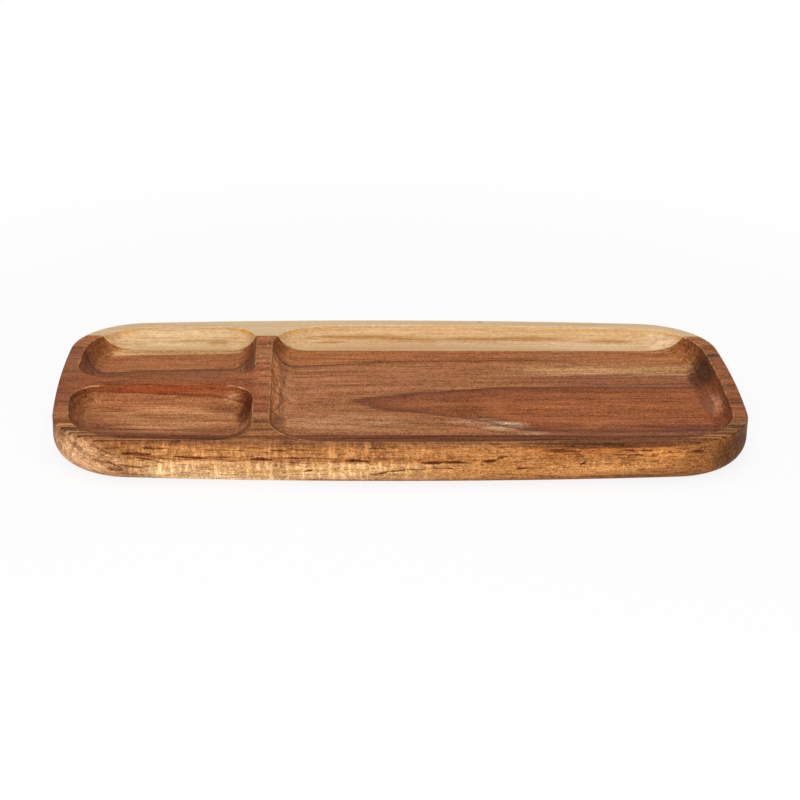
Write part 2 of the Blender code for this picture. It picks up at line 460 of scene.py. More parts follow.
class Wiring:
    """Places nodes in a tree and joins them, so that a finish reads as a formula."""

    def __init__(self, tree):
        self.tree = tree

    def node(self, kind, inputs=None, **settings):
        """Place a node, and feed its inputs by their names or places."""
        node = self.tree.nodes.new(kind)
        for name, value in settings.items():
            setattr(node, name, value)
        for key, value in (inputs or {}).items():
            self.feed(node.inputs[key], value)
        return node

    def feed(self, socket, value):
        """Link a socket to another, or set its value."""
        if isinstance(value, bpy.types.NodeSocket):
            self.tree.links.new(value, socket)
        else:
            socket.default_value = value

    def math(self, operation, *values, clamp=False):
        return self.node("ShaderNodeMath", dict(enumerate(values)), operation=operation,
                         use_clamp=clamp).outputs[0]

    def times(self, *values):
        product = values[0]
        for value in values[1:]:
            product = self.math("MULTIPLY", product, value)
        return product

    def plus(self, *values):
        total = values[0]
        for value in values[1:]:
            total = self.math("ADD", total, value)
        return total

    def vector(self, x, y, z):
        return self.node("ShaderNodeCombineXYZ", {"X": x, "Y": y, "Z": z}).outputs[0]

    def split(self, vector):
        return self.node("ShaderNodeSeparateXYZ", {0: vector}).outputs

    def vector_math(self, operation, *values):
        return self.node("ShaderNodeVectorMath", dict(enumerate(values)),
                         operation=operation).outputs

    def vectors(self, operation, *values):
        """A vector operation that gives a vector."""
        return self.vector_math(operation, *values)["Vector"]

    def measure(self, operation, *values):
        """A vector operation that gives a number."""
        return self.vector_math(operation, *values)["Value"]

    def ramp_up(self, value, start, end, low=0.0, high=1.0, kind="SMOOTHSTEP"):
        """A value that turns from low to high between start and end, and stays there."""
        inputs = {"Value": value, "From Min": start, "From Max": end, "To Min": low, "To Max": high}
        return self.node("ShaderNodeMapRange", inputs, interpolation_type=kind).outputs[0]

    def ramp_down(self, value, start, end):
        """One up to the start, and nothing from the end on."""
        return self.ramp_up(value, start, end, 1.0, 0.0)

    def between(self, value, rise, full, fall, gone):
        """One from full to fall, and nothing before rise and after gone."""
        return self.times(self.ramp_up(value, rise, full), self.ramp_down(value, fall, gone))

    def noise_outputs(self, point, reach, detail=2.0, roughness=0.5, distortion=0.0):
        return self.node("ShaderNodeTexNoise", {
            "Vector": self.vectors("DIVIDE", point, reach), "Scale": 1, "Detail": detail,
            "Roughness": roughness, "Distortion": distortion}).outputs

    def noise(self, point, reach, *settings):
        """Noise about 0.5 whose lumps are about as long as the reach on each axis."""
        return self.noise_outputs(point, reach, *settings)[0]

    def shaken(self, point, amounts, noise_point, reach, detail):
        """A point that noise pushes to and fro by an amount on each axis."""
        pushes = self.noise_outputs(noise_point, reach, detail)["Color"]
        centred = self.vectors("SUBTRACT", pushes, (0.5, 0.5, 0.5))
        return self.vectors("ADD", point, self.vectors("MULTIPLY", centred, amounts))

    def swing(self, noise, amount):
        """How far the noise takes a value of one up or down."""
        return self.math("MULTIPLY_ADD", noise, amount, -amount / 2)

    def mix(self, share, first, second, blend="MIX"):
        """A mix of two colours, which have their own sockets on the node."""
        return self.node("ShaderNodeMix", {"Factor": share, 6: first, 7: second},
                         data_type="RGBA", blend_type=blend).outputs[2]

    def group(self, tree, **values):
        inputs = {name.capitalize(): value for name, value in values.items()}
        return self.node("ShaderNodeGroup", inputs, node_tree=tree).outputs


def node_material(name):
    """A material with an empty tree, and the wiring for it."""
    material = bpy.data.materials.new(name)
    material.use_nodes = True
    material.node_tree.nodes.clear()
    return material, Wiring(material.node_tree)


def shade(red, green, blue):
    """A colour from 0 to 255 as a node takes it."""
    return opaque(linear(red, green, blue))


def opaque(colour):
    """A property's colour as a node takes it."""
    return (*colour, 1)


def shader_group(name, vectors, numbers, outputs):
    """A group of shader nodes: its tree, its wiring, what it is given and what it gives."""
    tree = bpy.data.node_groups.new(name, "ShaderNodeTree")
    for kind, sockets in (("Vector", vectors), ("Float", numbers)):
        for socket in sockets:
            tree.interface.new_socket(socket, in_out="INPUT", socket_type="NodeSocket" + kind)
    for socket in outputs:
        tree.interface.new_socket(socket, in_out="OUTPUT", socket_type="NodeSocketFloat")
    wires = Wiring(tree)
    given = wires.node("NodeGroupInput").outputs
    gives = wires.node("NodeGroupOutput").inputs
    return tree, wires, given, gives


def growth_line_group():
    """A dark line where one growth ring comes to the surface, sharp on its outer side."""
    tree, wires, given, gives = shader_group(
        "growth_line", (), ("Ring", "X", "Radius", "Inner", "Outer", "Start", "End", "Fade"),
        ("Mask",))
    off = wires.math("SUBTRACT", given["Ring"], given["Radius"])
    inner = wires.ramp_up(off, wires.times(given["Inner"], -1.0), 0.0)
    outer = wires.ramp_down(off, 0.0, given["Outer"])
    before = wires.math("SUBTRACT", given["Start"], given["Fade"])
    after = wires.math("ADD", given["End"], given["Fade"])
    along = wires.between(given["X"], before, given["Start"], given["End"], after)
    wires.feed(gives["Mask"], wires.times(inner, outer, along))
    return tree


def soft_patch_group():
    """A patch in the wood that fades from its core to its reach."""
    tree, wires, given, gives = shader_group(
        "soft_patch", ("Point", "Centre", "Reach"), ("Core",), ("Mask",))
    offset = wires.vectors("SUBTRACT", given["Point"], given["Centre"])
    distance = wires.measure("LENGTH", wires.vectors("DIVIDE", offset, given["Reach"]))
    wires.feed(gives["Mask"], wires.ramp_down(distance, given["Core"], 1.0))
    return tree


def dark_streak_group():
    """A short streak that tapers, from one place in X and Z to another."""
    tree, wires, given, gives = shader_group(
        "dark_streak", ("Point", "Start", "End"), ("Thickness",), ("Mask",))
    flat = wires.vectors("MULTIPLY", given["Point"], (1, 0, 1))
    run = wires.vectors("SUBTRACT", given["End"], given["Start"])
    offset = wires.vectors("SUBTRACT", flat, given["Start"])
    along = wires.math("DIVIDE", wires.measure("DOT_PRODUCT", offset, run),
                       wires.measure("DOT_PRODUCT", run, run), clamp=True)
    scaled = wires.node("ShaderNodeVectorMath", {0: run, "Scale": along}, operation="SCALE")
    distance = wires.measure("LENGTH", wires.vectors("SUBTRACT", offset, scaled.outputs[0]))
    middle = wires.math("PINGPONG", wires.times(along, 2.0), 1.0)
    width = wires.times(given["Thickness"], wires.ramp_up(middle, -0.1, 0.6, 0.35, 1.0))
    share = wires.math("DIVIDE", distance, width)
    wires.feed(gives["Mask"], wires.ramp_down(share, 0.55, 1.05))
    return tree


# The noise of each fine mark of the wood: how long its lumps are on X, Y and Z in
# millimetres, then its detail, roughness and distortion
FINE_MARKS = {
    "Streaks": ((26, 1.25, 0.85), 3, 0.62),
    "Bands": ((80, 5.5, 5.5), 4, 0.55, 0.3),
    "Mottle": ((4.5, 2.6, 1.8), 2, 0.6, 0.8),
    "Speckle": ((1.05, 1.7, 0.85), 1, 0.5),
    "Flecks": ((3.4, 1.5, 0.9), 1, 0.5, 0.6),
    "Pores": ((6.5, 0.9, 0.5), 1, 0.5),
}

# Flecks and pores show only where their noise is high, from the first value to the second
SPARSE_MARKS = {"Flecks": (0.6, 0.74), "Pores": (0.58, 0.72)}


def fine_grain_group():
    """The fine marks of the wood at a point in millimetres."""
    tree, wires, given, gives = shader_group("fine_grain", ("Point",), (), FINE_MARKS)
    for mark, settings in FINE_MARKS.items():
        noise = wires.noise(given["Point"], *settings)
        if mark in SPARSE_MARKS:
            noise = wires.ramp_up(noise, *SPARSE_MARKS[mark])
        wires.feed(gives[mark], noise)
    return tree


GROUP_MAKERS = {"growth_line": growth_line_group, "soft_patch": soft_patch_group,
                "dark_streak": dark_streak_group, "fine_grain": fine_grain_group}


def shared_group(name):
    """One of the groups that the woods share, made when it is first asked for."""
    return bpy.data.node_groups.get(name) or GROUP_MAKERS[name]()


# Heights of the floors and of the rim, and half the board's sizes, in millimetres
FLOOR = 15.0
RIM = 25.0
HALF_LENGTH = 200.0
HALF_WIDTH = 100.0

# How long the soft bends in the grain are on each axis, in millimetres
BEND_REACH = (38, 15, 15)

# What the oil leaves of red, green and blue, on the brown and on the pale wood
OIL_ON_BROWN = (0.985, 0.935, 0.84)
OIL_ON_PALE = (1.0, 0.995, 0.97)

# Darker grain is redder: the powers of its lightness in red, green and blue
GRAIN_TINT = (1.0, 1.2, 1.45)

# An oiled surface is satin, with little gloss and a relief that is felt more than seen,
# in millimetres
OILED_SPECULAR = 0.03
HEARTWOOD_ROUGHNESS = 0.4
HEARTWOOD_RELIEF = 0.05
SAPWOOD_ROUGHNESS = 0.42
SAPWOOD_RELIEF = 0.04
GLUE_ROUGHNESS = 0.45
GLUE_RELIEF = 0.02
GLUE_MOTTLE_REACH = (6, 2, 2)


class Wood:
    """An oiled wood in the making: its material, what its pattern reads, and its colour.

    The point is in the board's millimetres, with the origin under the middle of the
    tray. It is bent a little, so that no line in the wood is quite straight.
    """

    def __init__(self, name, bend=0.0, grain_rate=1.0):
        self.material, self.wires = node_material(name)
        place = self.wires.node("ShaderNodeTexCoord").outputs
        self.straight = self.wires.vectors("DIVIDE", place["Object"], (MM, MM, MM))
        self.colour = None
        if bend:
            self.point = self.wires.shaken(self.straight, (0, bend, bend),
                                           self.straight, BEND_REACH, 4)
            self.x, self.y, self.z = self.wires.split(self.point)
            self.normal = self.wires.split(place["Normal"])
            self.across = self.wires.math("ABSOLUTE", self.normal[0])
            grain_point = self.wires.vectors("MULTIPLY", self.point, (grain_rate, 1, 1))
            self.grain = self.wires.group(shared_group("fine_grain"), point=grain_point)

    def tint(self, share, colour):
        """Turn the colour so far towards another one by a share."""
        self.colour = self.wires.mix(share, self.colour, colour)

    def broken_by(self, mark, start, end, least):
        """One where a fine mark is strong, and the least share of it where it is weak."""
        return self.wires.ramp_up(self.grain[mark], start, end, least, 1.0)

    def growth_line(self, ring, radius, inner, outer, start, end, fade):
        """A dark line along one growth ring, drawn where X lies between start and end."""
        return self.wires.group(shared_group("growth_line"), ring=ring, x=self.x, radius=radius,
                                inner=inner, outer=outer, start=start, end=end, fade=fade)[0]

    def lay_patches(self, patches):
        """Tint soft patches, each broken up by the soft bands of the grain."""
        broken = self.broken_by("Bands", 0.34, 0.54, 0.5)
        for centre, reach, core, colour, strength in patches:
            mask = self.wires.group(shared_group("soft_patch"), point=self.point,
                                    centre=centre, reach=reach, core=core)[0]
            self.tint(self.wires.times(mask, broken, strength), shade(*colour))

    def marks(self, **amounts):
        """How far the fine marks take a lightness of one up or down, each by its amount."""
        changes = []
        for name, amount in amounts.items():
            mark = name.capitalize()
            if mark in SPARSE_MARKS:
                changes.append(self.wires.times(self.grain[mark], amount))
            else:
                changes.append(self.wires.swing(self.grain[mark], amount))
        return self.wires.plus(*changes)

    def end_grain_and_shade(self, depth):
        """How much darker the wood is where its ends drink in the oil, with painted shade on the end
        walls of the compartments.
        """
        return self.wires.ramp_up(self.across, 0.1, 0.9, 1.0, 1.0 - depth)

    def arris_wear_and_highlight(self):
        """One on the eased edges of the compartments that run across the grain, where sanding wear
        and a painted highlight lighten the wood.
        """
        wires = self.wires
        outward = wires.plus(wires.times(self.x, self.normal[0], 1 / HALF_LENGTH),
                             wires.times(self.y, self.normal[1], 1 / HALF_WIDTH))
        return wires.times(wires.ramp_down(self.normal[2], 0.72, 0.98),
                           wires.ramp_up(self.across, 0.12, 0.28),
                           wires.ramp_down(outward, 0.36, 0.44),
                           wires.ramp_up(self.z, RIM - 0.9, RIM - 0.5))

    def wall_contours(self, amount):
        """Fine lines that follow the end walls of the compartments round their corners."""
        wires = self.wires
        lines = wires.noise(self.point, (25, 25, 0.8), 3, 0.6)
        steep = wires.times(wires.ramp_up(self.across, 0.15, 0.45),
                            wires.ramp_up(self.normal[2], 0.3, 0.5),
                            wires.ramp_down(self.z, RIM - 1.0, RIM - 0.4))
        return wires.times(wires.swing(lines, amount), steep)

    def streaks(self, point, streaks, thicker=1.0):
        """One mask for all the streaks of a list, which are drawn in X and Z alone."""
        mask = 0.0
        for start, end, thickness, strength in streaks:
            streak = self.wires.group(shared_group("dark_streak"), point=point,
                                      thickness=thicker * thickness,
                                      start=(start[0], 0, start[1]), end=(end[0], 0, end[1]))[0]
            mask = self.wires.math("MAXIMUM", mask, self.wires.times(streak, strength))
        return mask

    def oiled(self, gain, oil, roughness, relief):
        """The finished wood, whose streaks and pores show in its gloss and its relief."""
        uneven = self.wires.math("MULTIPLY_ADD", self.grain["Streaks"], 0.2, roughness)
        height = self.wires.math("SUBTRACT", self.grain["Streaks"], self.grain["Pores"])
        return self.finished(gain, oil, uneven, height, relief)

    def finished(self, gain, oil, roughness, height, relief):
        """The material, its colour lightened or darkened by the gain, with a satin surface."""
        wires = self.wires
        tones = [wires.times(wires.math("POWER", gain, power), share)
                 for power, share in zip(GRAIN_TINT, oil)]
        tone = wires.node("ShaderNodeCombineColor", dict(enumerate(tones))).outputs[0]
        bump = wires.node("ShaderNodeBump", {"Strength": 1, "Distance": relief * MM,
                                             "Height": height})
        shader = wires.node("ShaderNodeBsdfPrincipled", {
            "Base Color": wires.mix(1.0, self.colour, tone, "MULTIPLY"),
            "Roughness": roughness,
            "Specular IOR Level": OILED_SPECULAR,
            "Normal": bump.outputs["Normal"]})
        wires.node("ShaderNodeOutputMaterial", {"Surface": shader.outputs["BSDF"]})
        return self.material


# Where the heart of the tree lies: from one X to another, and its place at each, with
# its height above the floors, in millimetres
HEART_Y = (0.0, 90.0, -12.0, -21.0)
HEART_ABOVE = (-200.0, -20.0, 107.4, 100.0)
HEART_SINKS = (-20.0, 70.0, 0.0, 3.0)
HEART_BENDS = (20.0, 90.0, 0.0, 2.6)

# Rings of the heartwood that show, by their radius. Two of them cross the board at a
# slant, so they have one X and another, and the radius at each
CATHEDRAL_RING = 100.0
LONG_RING = (-65.0, 77.0, 116.1, 121.7)
RIGHT_RING = (90.0, 190.0, 106.2, 109.9)
TAN_RING = 129.2

# The small compartments end between these places on X
SMALL_END = (-98.0, -88.0)

# How the ring noise runs: X, ring and seed
HEARTWOOD_RINGS = (1 / 0.009, 1 / 0.7, 1)

# The ring radii between which the broad colours of the middle stave turn
TOWARDS_REAR = (115.0, 119.5)
SHADOWED_RINGS = (106.0, 114.0, 116.0, 117.0)
DARK_TO_LIGHT_BAND = (106.2, 108.6)
LIGHT_TO_OUTER_BAND = (111.5, 119.5)

# Tints of the heartwood
TAN_BAND = shade(192, 147, 102)
SHADOWED_BAND = shade(122, 72, 45)
LIGHT_BAND = shade(191, 142, 99)
LIGHT_BAND_UP_THE_WALL = shade(152, 96, 54)
DARK_BAND = shade(149, 93, 63)
OUTER_BAND = shade(165, 107, 68)
CATHEDRAL_FEATHER = shade(124, 70, 42)
# Sanding wear and a painted highlight on the eased edges
HEARTWOOD_ARRIS_WEAR_AND_HIGHLIGHT = shade(214, 164, 118)

# Patches of the middle stave: centre, reach, core, colour and strength
HEARTWOOD_PATCHES = (
    ((-35, -42, 15), (62, 19, 9), 0.2, (182, 131, 96), 0.65),
    ((18, -14, 15), (32, 8, 9), 0.3, (164, 101, 63), 0.7),
    ((40, -40, 15), (22, 7, 7), 0.1, (194, 150, 120), 0.6),
    ((59, -46.5, 15), (19, 8, 7), 0.2, (232, 196, 166), 0.85),
    ((75, -57.5, 15), (13, 3, 7), 0.2, (206, 166, 138), 0.8),
    ((74, -52.5, 15), (11, 3, 7), 0.2, (120, 74, 60), 0.55),
    ((116, -47, 15), (32, 12, 8), 0.3, (164, 101, 66), 0.7),
    ((166, -50, 15), (28, 9, 8), 0.2, (104, 63, 52), 0.85),
    ((105, -22, 15), (62, 22, 9), 0.3, (176, 105, 62), 0.7),
    ((-133, -37, 15), (46, 24, 6), 0.5, (198, 140, 95), 0.75),
    ((-104, -24, 15), (14, 9, 6), 0.3, (110, 62, 38), 0.6),
    ((-138, -10, 22.5), (50, 9, 3.6), 0.3, (152, 70, 38), 0.8),
    ((-138, -19, 16.4), (52, 6, 1.6), 0.2, (126, 72, 44), 0.6),
    ((-90, -36, 20.5), (8, 19, 8), 0.45, (88, 34, 14), 0.84),
    ((-98, -15, 20), (9, 5, 5), 0.2, (208, 150, 112), 0.7),
    ((-90, -56, 19), (5, 8, 5), 0.2, (196, 138, 104), 0.6),
    # A painted reflection on the right end wall of the large compartment
    ((185, -22, 19.0), (10, 22, 6), 0.2, (206, 150, 116), 0.8),
    ((172, 56, 20), (14, 16, 8), 0.3, (170, 106, 52), 0.6),
    ((185, 27, 20), (13, 30, 8), 0.35, (74, 41, 25), 0.9),
    ((182, -4, 15.6), (6, 44, 2.6), 0.5, (114, 68, 45), 0.7),
    ((182, 22, 16), (7, 22, 3.2), 0.5, (90, 49, 29), 0.82),
    ((-91, 45, 20), (8, 28, 7), 0.4, (118, 62, 32), 0.6),
    ((-68, 0, 16), (9, 64, 5), 0.5, (178, 123, 86), 0.7),
    ((-72, 0, 22), (8, 64, 5), 0.6, (236, 166, 116), 0.95),
    ((-80.75, 0, 25), (7, 42, 3), 0.5, (170, 107, 71), 0.7),
    ((-180, 44, 21), (12, 30, 7), 0.3, (108, 65, 42), 0.7),
    ((-188, -34, 17), (8, 26, 4), 0.4, (128, 80, 54), 0.36),
    ((-196, 0, 25), (14, 70, 3.5), 0.5, (136, 83, 54), 0.7),
    ((193, 0, 25), (14, 74, 3.5), 0.5, (140, 87, 57), 0.7),
    ((193.5, 39, 25), (8, 4.5, 3), 0.3, (76, 44, 30), 0.85),
    ((194.5, -36.5, 25), (9, 3.5, 3), 0.3, (88, 52, 34), 0.8),
    ((192, 58, 25), (9, 6, 3), 0.3, (166, 106, 68), 0.6),
)


def ring_radius(wood):
    """The radius of the growth ring at a point, about a heart above the tray.

    The heart comes nearer towards the right end, so the ring that just reaches the
    floors of the small compartments opens into a cathedral on the large one.
    """
    wires = wood.wires
    sinks = wires.plus(wires.ramp_up(wood.x, *HEART_SINKS, kind="LINEAR"),
                       wires.ramp_up(wood.x, *HEART_BENDS))
    above = wires.math("SUBTRACT", wires.ramp_up(wood.x, *HEART_ABOVE, kind="LINEAR"), sinks)
    height = wires.math("SUBTRACT", wires.plus(above, FLOOR), wood.z)
    aside = wires.math("SUBTRACT", wood.y, wires.ramp_up(wood.x, *HEART_Y))
    return wires.measure("LENGTH", wires.vector(0.0, aside, height))


def paint_heartwood(wood, ring, colours):
    """The broad colours of the middle stave, which change from ring to ring."""
    wires, x, z = wood.wires, wood.x, wood.z
    wood.colour = wires.mix(wires.ramp_up(ring, *TOWARDS_REAR), opaque(colours.heartwood),
                            opaque(colours.heartwood_rear))
    tan = wires.times(wires.ramp_up(ring, TAN_RING - 1, TAN_RING + 1),
                      wires.between(x, -197.0, -192.0, *SMALL_END),
                      wires.between(z, FLOOR - 2.8, FLOOR - 1.0, FLOOR + 0.3, FLOOR + 1.8))
    wood.tint(tan, TAN_BAND)
    shadowed = wires.times(wires.between(ring, *SHADOWED_RINGS),
                           wires.ramp_down(x, -110.0, -84.0))
    wood.tint(wires.times(shadowed, 0.6), SHADOWED_BAND)
    light = wires.mix(wires.ramp_up(z, FLOOR + 1, FLOOR + 5), LIGHT_BAND, LIGHT_BAND_UP_THE_WALL)
    right = wires.mix(wires.ramp_up(ring, *DARK_TO_LIGHT_BAND), DARK_BAND, light)
    right = wires.mix(wires.ramp_up(ring, *LIGHT_TO_OUTER_BAND), right, OUTER_BAND)
    wood.tint(wires.ramp_up(x, 50.0, 105.0), right)
    inside = wires.ramp_down(ring, CATHEDRAL_RING - 0.8, CATHEDRAL_RING + 0.6)
    wood.tint(inside, opaque(colours.heartwood_core))
    feather = wires.between(ring, CATHEDRAL_RING - 4.5, CATHEDRAL_RING,
                            CATHEDRAL_RING - 0.2, CATHEDRAL_RING + 0.6)
    wood.tint(wires.times(feather, 0.45), CATHEDRAL_FEATHER)


def draw_growth_lines(wood, ring, colours):
    """The dark lines of the rings that show, a little ragged along the grain."""
    wires, x = wood.wires, wood.x
    width = wires.ramp_up(x, 20.0, 90.0, 0.9, 1.6)
    long_ring = wires.ramp_up(x, *LONG_RING, kind="LINEAR")
    right_ring = wires.ramp_up(x, *RIGHT_RING, kind="LINEAR")
    ragged = wood.broken_by("Streaks", 0.32, 0.55, 0.45)
    # Radius, width on the inner and the outer side, start, end and fade on X, strength
    for *line, strength in (
            (CATHEDRAL_RING, width, wires.times(width, 0.6), -230.0, 190.0, 10.0, 0.62),
            (long_ring, 1.8, 0.9, -220.0, 80.0, 55.0, 0.72),
            (right_ring, 0.6, 1.6, 118.0, 200.0, 45.0, 0.6),
            (TAN_RING, 0.8, 0.6, -160.0, -100.0, 8.0, 0.5)):
        mask = wood.growth_line(ring, *line)
        wood.tint(wires.times(mask, ragged, strength), opaque(colours.growth_line))


def heartwood_material(colours):
    """Flat sawn brown heartwood, with the cathedral of one growth ring on its floor."""
    wood = Wood("heartwood_oiled", bend=1.8)
    wires = wood.wires
    ring = wires.plus(ring_radius(wood), wires.swing(wood.grain["Streaks"], 1.3),
                      wires.swing(wood.grain["Bands"], 0.8))
    paint_heartwood(wood, ring, colours)
    wood.lay_patches(HEARTWOOD_PATCHES)
    draw_growth_lines(wood, ring, colours)
    rings = wires.noise(wires.vector(wood.x, ring, 0.0), HEARTWOOD_RINGS, 4, 0.6)
    marks = wires.plus(wood.marks(streaks=1.75, bands=0.85, mottle=0.35, speckle=1.5,
                                  flecks=0.2, pores=-0.22),
                       wires.swing(rings, 1.2), wood.wall_contours(1.5))
    calm = wires.ramp_up(wood.x, -104.0, -94.0, 0.85, 1.0)
    gain = wires.math("MULTIPLY_ADD", marks, calm, 1.0)
    # The eased edges of the end walls are lightened by sanding wear and a painted highlight;
    # elsewhere the end walls are darkened by end grain and painted shade.
    arris = wires.times(wood.arris_wear_and_highlight(), wood.broken_by("Mottle", 0.36, 0.56, 0.6))
    gain = wires.times(gain, wires.math("MAXIMUM", wood.end_grain_and_shade(0.46), arris))
    wood.tint(wires.times(arris, 0.85), HEARTWOOD_ARRIS_WEAR_AND_HIGHLIGHT)
    return wood.oiled(gain, OIL_ON_BROWN, HEARTWOOD_ROUGHNESS, HEARTWOOD_RELIEF)


# Streaks in the front side: X and Z of each end, thickness and strength
FRONT_STREAKS = (
    ((-155, 18.9), (-140, 18.8), 1.1, 1.0),
    ((-127, 17.7), (-110, 17.4), 0.8, 0.95),
    ((-110, 17.6), (-98, 18.0), 0.8, 0.5),
    ((-85, 17.4), (-73, 17.2), 0.75, 1.0),
    ((-73, 18.0), (-55, 17.9), 0.5, 0.6),
    ((-34, 16.9), (-19, 16.4), 0.85, 1.0),
    ((-146, 22.8), (-131, 22.4), 0.8, 0.85),
    ((-114, 22.4), (-84, 22.3), 0.4, 0.6),
    ((-74, 22.5), (-65, 22.4), 0.7, 0.8),
    ((-21, 24.1), (-11, 24.0), 0.6, 0.8),
    ((-165, 13.6), (-157, 11.0), 0.7, 0.8),
    ((-157, 12.2), (-145, 10.6), 0.7, 0.9),
    ((-148, 16.6), (-139, 15.4), 0.7, 0.8),
    ((-139, 15.4), (-134, 14.0), 0.6, 0.7),
    ((-165, 9.0), (-157, 8.0), 0.6, 0.6),
    ((-56, 10.1), (-51, 11.1), 0.7, 0.95),
    ((-19, 8.0), (-9, 10.0), 0.6, 0.85),
    ((-9, 10.0), (0, 11.2), 0.6, 0.85),
    ((0, 11.3), (11, 11.9), 0.5, 0.7),
    ((14, 12.4), (25, 12.6), 0.5, 0.6),
    ((9, 15.6), (20, 15.8), 1.0, 1.0),
    ((20, 16.2), (34, 15.7), 0.9, 1.0),
    ((43, 16.0), (51, 17.0), 1.1, 1.0),
    ((51, 17.8), (56, 19.0), 0.8, 0.9),
    ((61, 11.2), (67, 12.0), 0.7, 0.9),
    ((74, 16.9), (77, 17.8), 0.5, 0.7),
    ((96, 13.6), (101, 15.4), 0.7, 0.9),
    ((74, 22.6), (97, 21.5), 0.9, 0.85),
    ((114, 19.2), (122, 19.4), 0.8, 0.9),
    ((124, 18.8), (133, 18.6), 0.7, 0.9),
    ((159, 19.8), (167, 19.5), 0.9, 0.9),
    ((150, 22.0), (158, 21.7), 0.6, 0.7),
    ((171, 18.4), (180, 17.8), 0.7, 0.6),
    ((174, 12.6), (186, 12.0), 0.8, 0.5),
    ((120, 21.8), (126, 21.6), 0.6, 0.8),
    ((131, 21.3), (137, 21.2), 0.6, 0.8),
    ((45, 8.8), (70, 6.6), 0.6, 0.5),
    ((68, 6.8), (92, 4.6), 0.7, 0.5),
    ((98, 5.4), (140, 4.6), 0.7, 0.45),
)

# Patches of the front stave: centre, reach, core, colour and strength
FRONT_PATCHES = (
    ((120, -96, 25), (70, 14, 3.0), 0.4, (100, 57, 31), 0.9),
    ((78, -95.0, 25), (20, 1.3, 1.5), 0.4, (60, 34, 18), 0.95),
    ((108, -95.4, 25), (24, 1.7, 1.5), 0.4, (58, 33, 18), 0.95),
    ((97, -84.6, 20), (12, 1.4, 3), 0.3, (58, 34, 20), 0.8),
    ((98, -64, 15), (10, 0.9, 2), 0.3, (58, 35, 24), 0.8),
    ((90, -62.6, 15), (22, 0.9, 2), 0.3, (184, 122, 70), 0.7),
    ((-184, -83, 10), (38, 34, 18), 0.5, (226, 176, 133), 1.0),
    ((190, -80, 12), (25, 36, 18), 0.4, (98, 65, 42), 0.85),
    ((142, -97, 18), (20, 14, 5), 0.3, (218, 148, 82), 0.8),
    ((110, -98, 12.6), (46, 14, 4.5), 0.4, (216, 155, 97), 0.75),
    # Painted light on the lower front side
    ((-50, -96, 7.6), (46, 14, 3), 0.4, (238, 200, 152), 0.7),
    ((-194, -63.5, 25), (14, 1.6, 3), 0.5, (72, 42, 25), 0.9),
    ((-190, -68.0, 25), (14, 1.4, 3), 0.4, (206, 150, 98), 0.8),
    ((-186, -73.0, 25), (16, 2.0, 3), 0.5, (70, 41, 24), 0.9),
    ((-176, -79.5, 25), (20, 1.6, 3), 0.4, (88, 52, 30), 0.8),
    ((-168, -85, 25), (26, 1.6, 2), 0.4, (196, 142, 86), 0.7),
    ((186, -70, 25), (20, 14, 5), 0.3, (132, 102, 68), 0.8),
    # The next two rows are painted light on the lower left of the front side
    ((-122, -98, 6), (44, 14, 8), 0.4, (240, 200, 154), 0.9),
    ((-105, -92, 2.5), (62, 20, 4), 0.5, (250, 216, 172), 0.95),
    ((-62, -95.4, 25), (17, 1.0, 2), 0.3, (78, 47, 30), 0.85),
    ((-76, -75.3, 25), (14, 1.8, 2), 0.4, (92, 58, 38), 0.85),
)

# The painted highlight of the eased edge, a light line on the rim by the large compartment,
# which follows the bow of the front side and then the compartment's corner: the centre and
# radius of each, the line's width on its inner and outer side, and its start, end and fade on X
EDGE_HIGHLIGHT_LINES = (
    ((0.0, 2126.7, 0.0), 2218.9, 0.5, 0.35, -44.0, 140.0, 12.0),
    ((-43.0, -58.7, 0.0), 33.9, 0.5, 0.5, -74.0, -44.0, 3.0),
)

# How the noises of the front stave run, on the axes that each is given
STRIPE_REACH = (125, 2, 1)
RIM_LINE_REACH = (1 / 0.012, 1 / 1.1, 1)
CORNER_LINE_REACH = (1.25, 50, 1)
STREAK_PUSH_REACH = (7, 20, 1.6)
STREAK_BREAK_REACH = (4.5, 20, 0.8)
DASH_REACH = (11, 20, 0.8)
BAR_REACH = (1.8, 40, 7)
DRIFT_REACH = (10, 40, 11)
BLISTER_REACH = (3.6, 9, 1.5)

# Tints of the front stave
# Painted shade on the lower front side
LOW_GOLD_PAINTED_SHADE = shade(172, 118, 74)
UPPER_GOLD_LEFT = shade(184, 126, 75)
UPPER_GOLD_RIGHT = shade(184, 115, 65)
BEHIND_STREAKS = shade(166, 104, 56)
DASHES = shade(112, 58, 27)
# Sanding wear and a painted highlight on the eased edges of the front stave
FRONT_EDGE_WEAR_AND_HIGHLIGHT = shade(206, 156, 108)


def compartment_edge_highlight(wood):
    """A painted highlight of the eased edge: a light line on the rim along the front edge and corner
    of the large compartment.
    """
    wires, x, y = wood.wires, wood.x, wood.y
    flat = wires.vector(x, y, 0.0)
    lines = []
    for centre, *line in EDGE_HIGHLIGHT_LINES:
        away = wires.measure("LENGTH", wires.vectors("SUBTRACT", flat, centre))
        lines.append(wood.growth_line(away, *line))
    along_front, round_corner = lines
    lower_part = wires.ramp_down(y, -72.0, -64.0)
    return wires.math("MAXIMUM", along_front, wires.times(round_corner, lower_part))


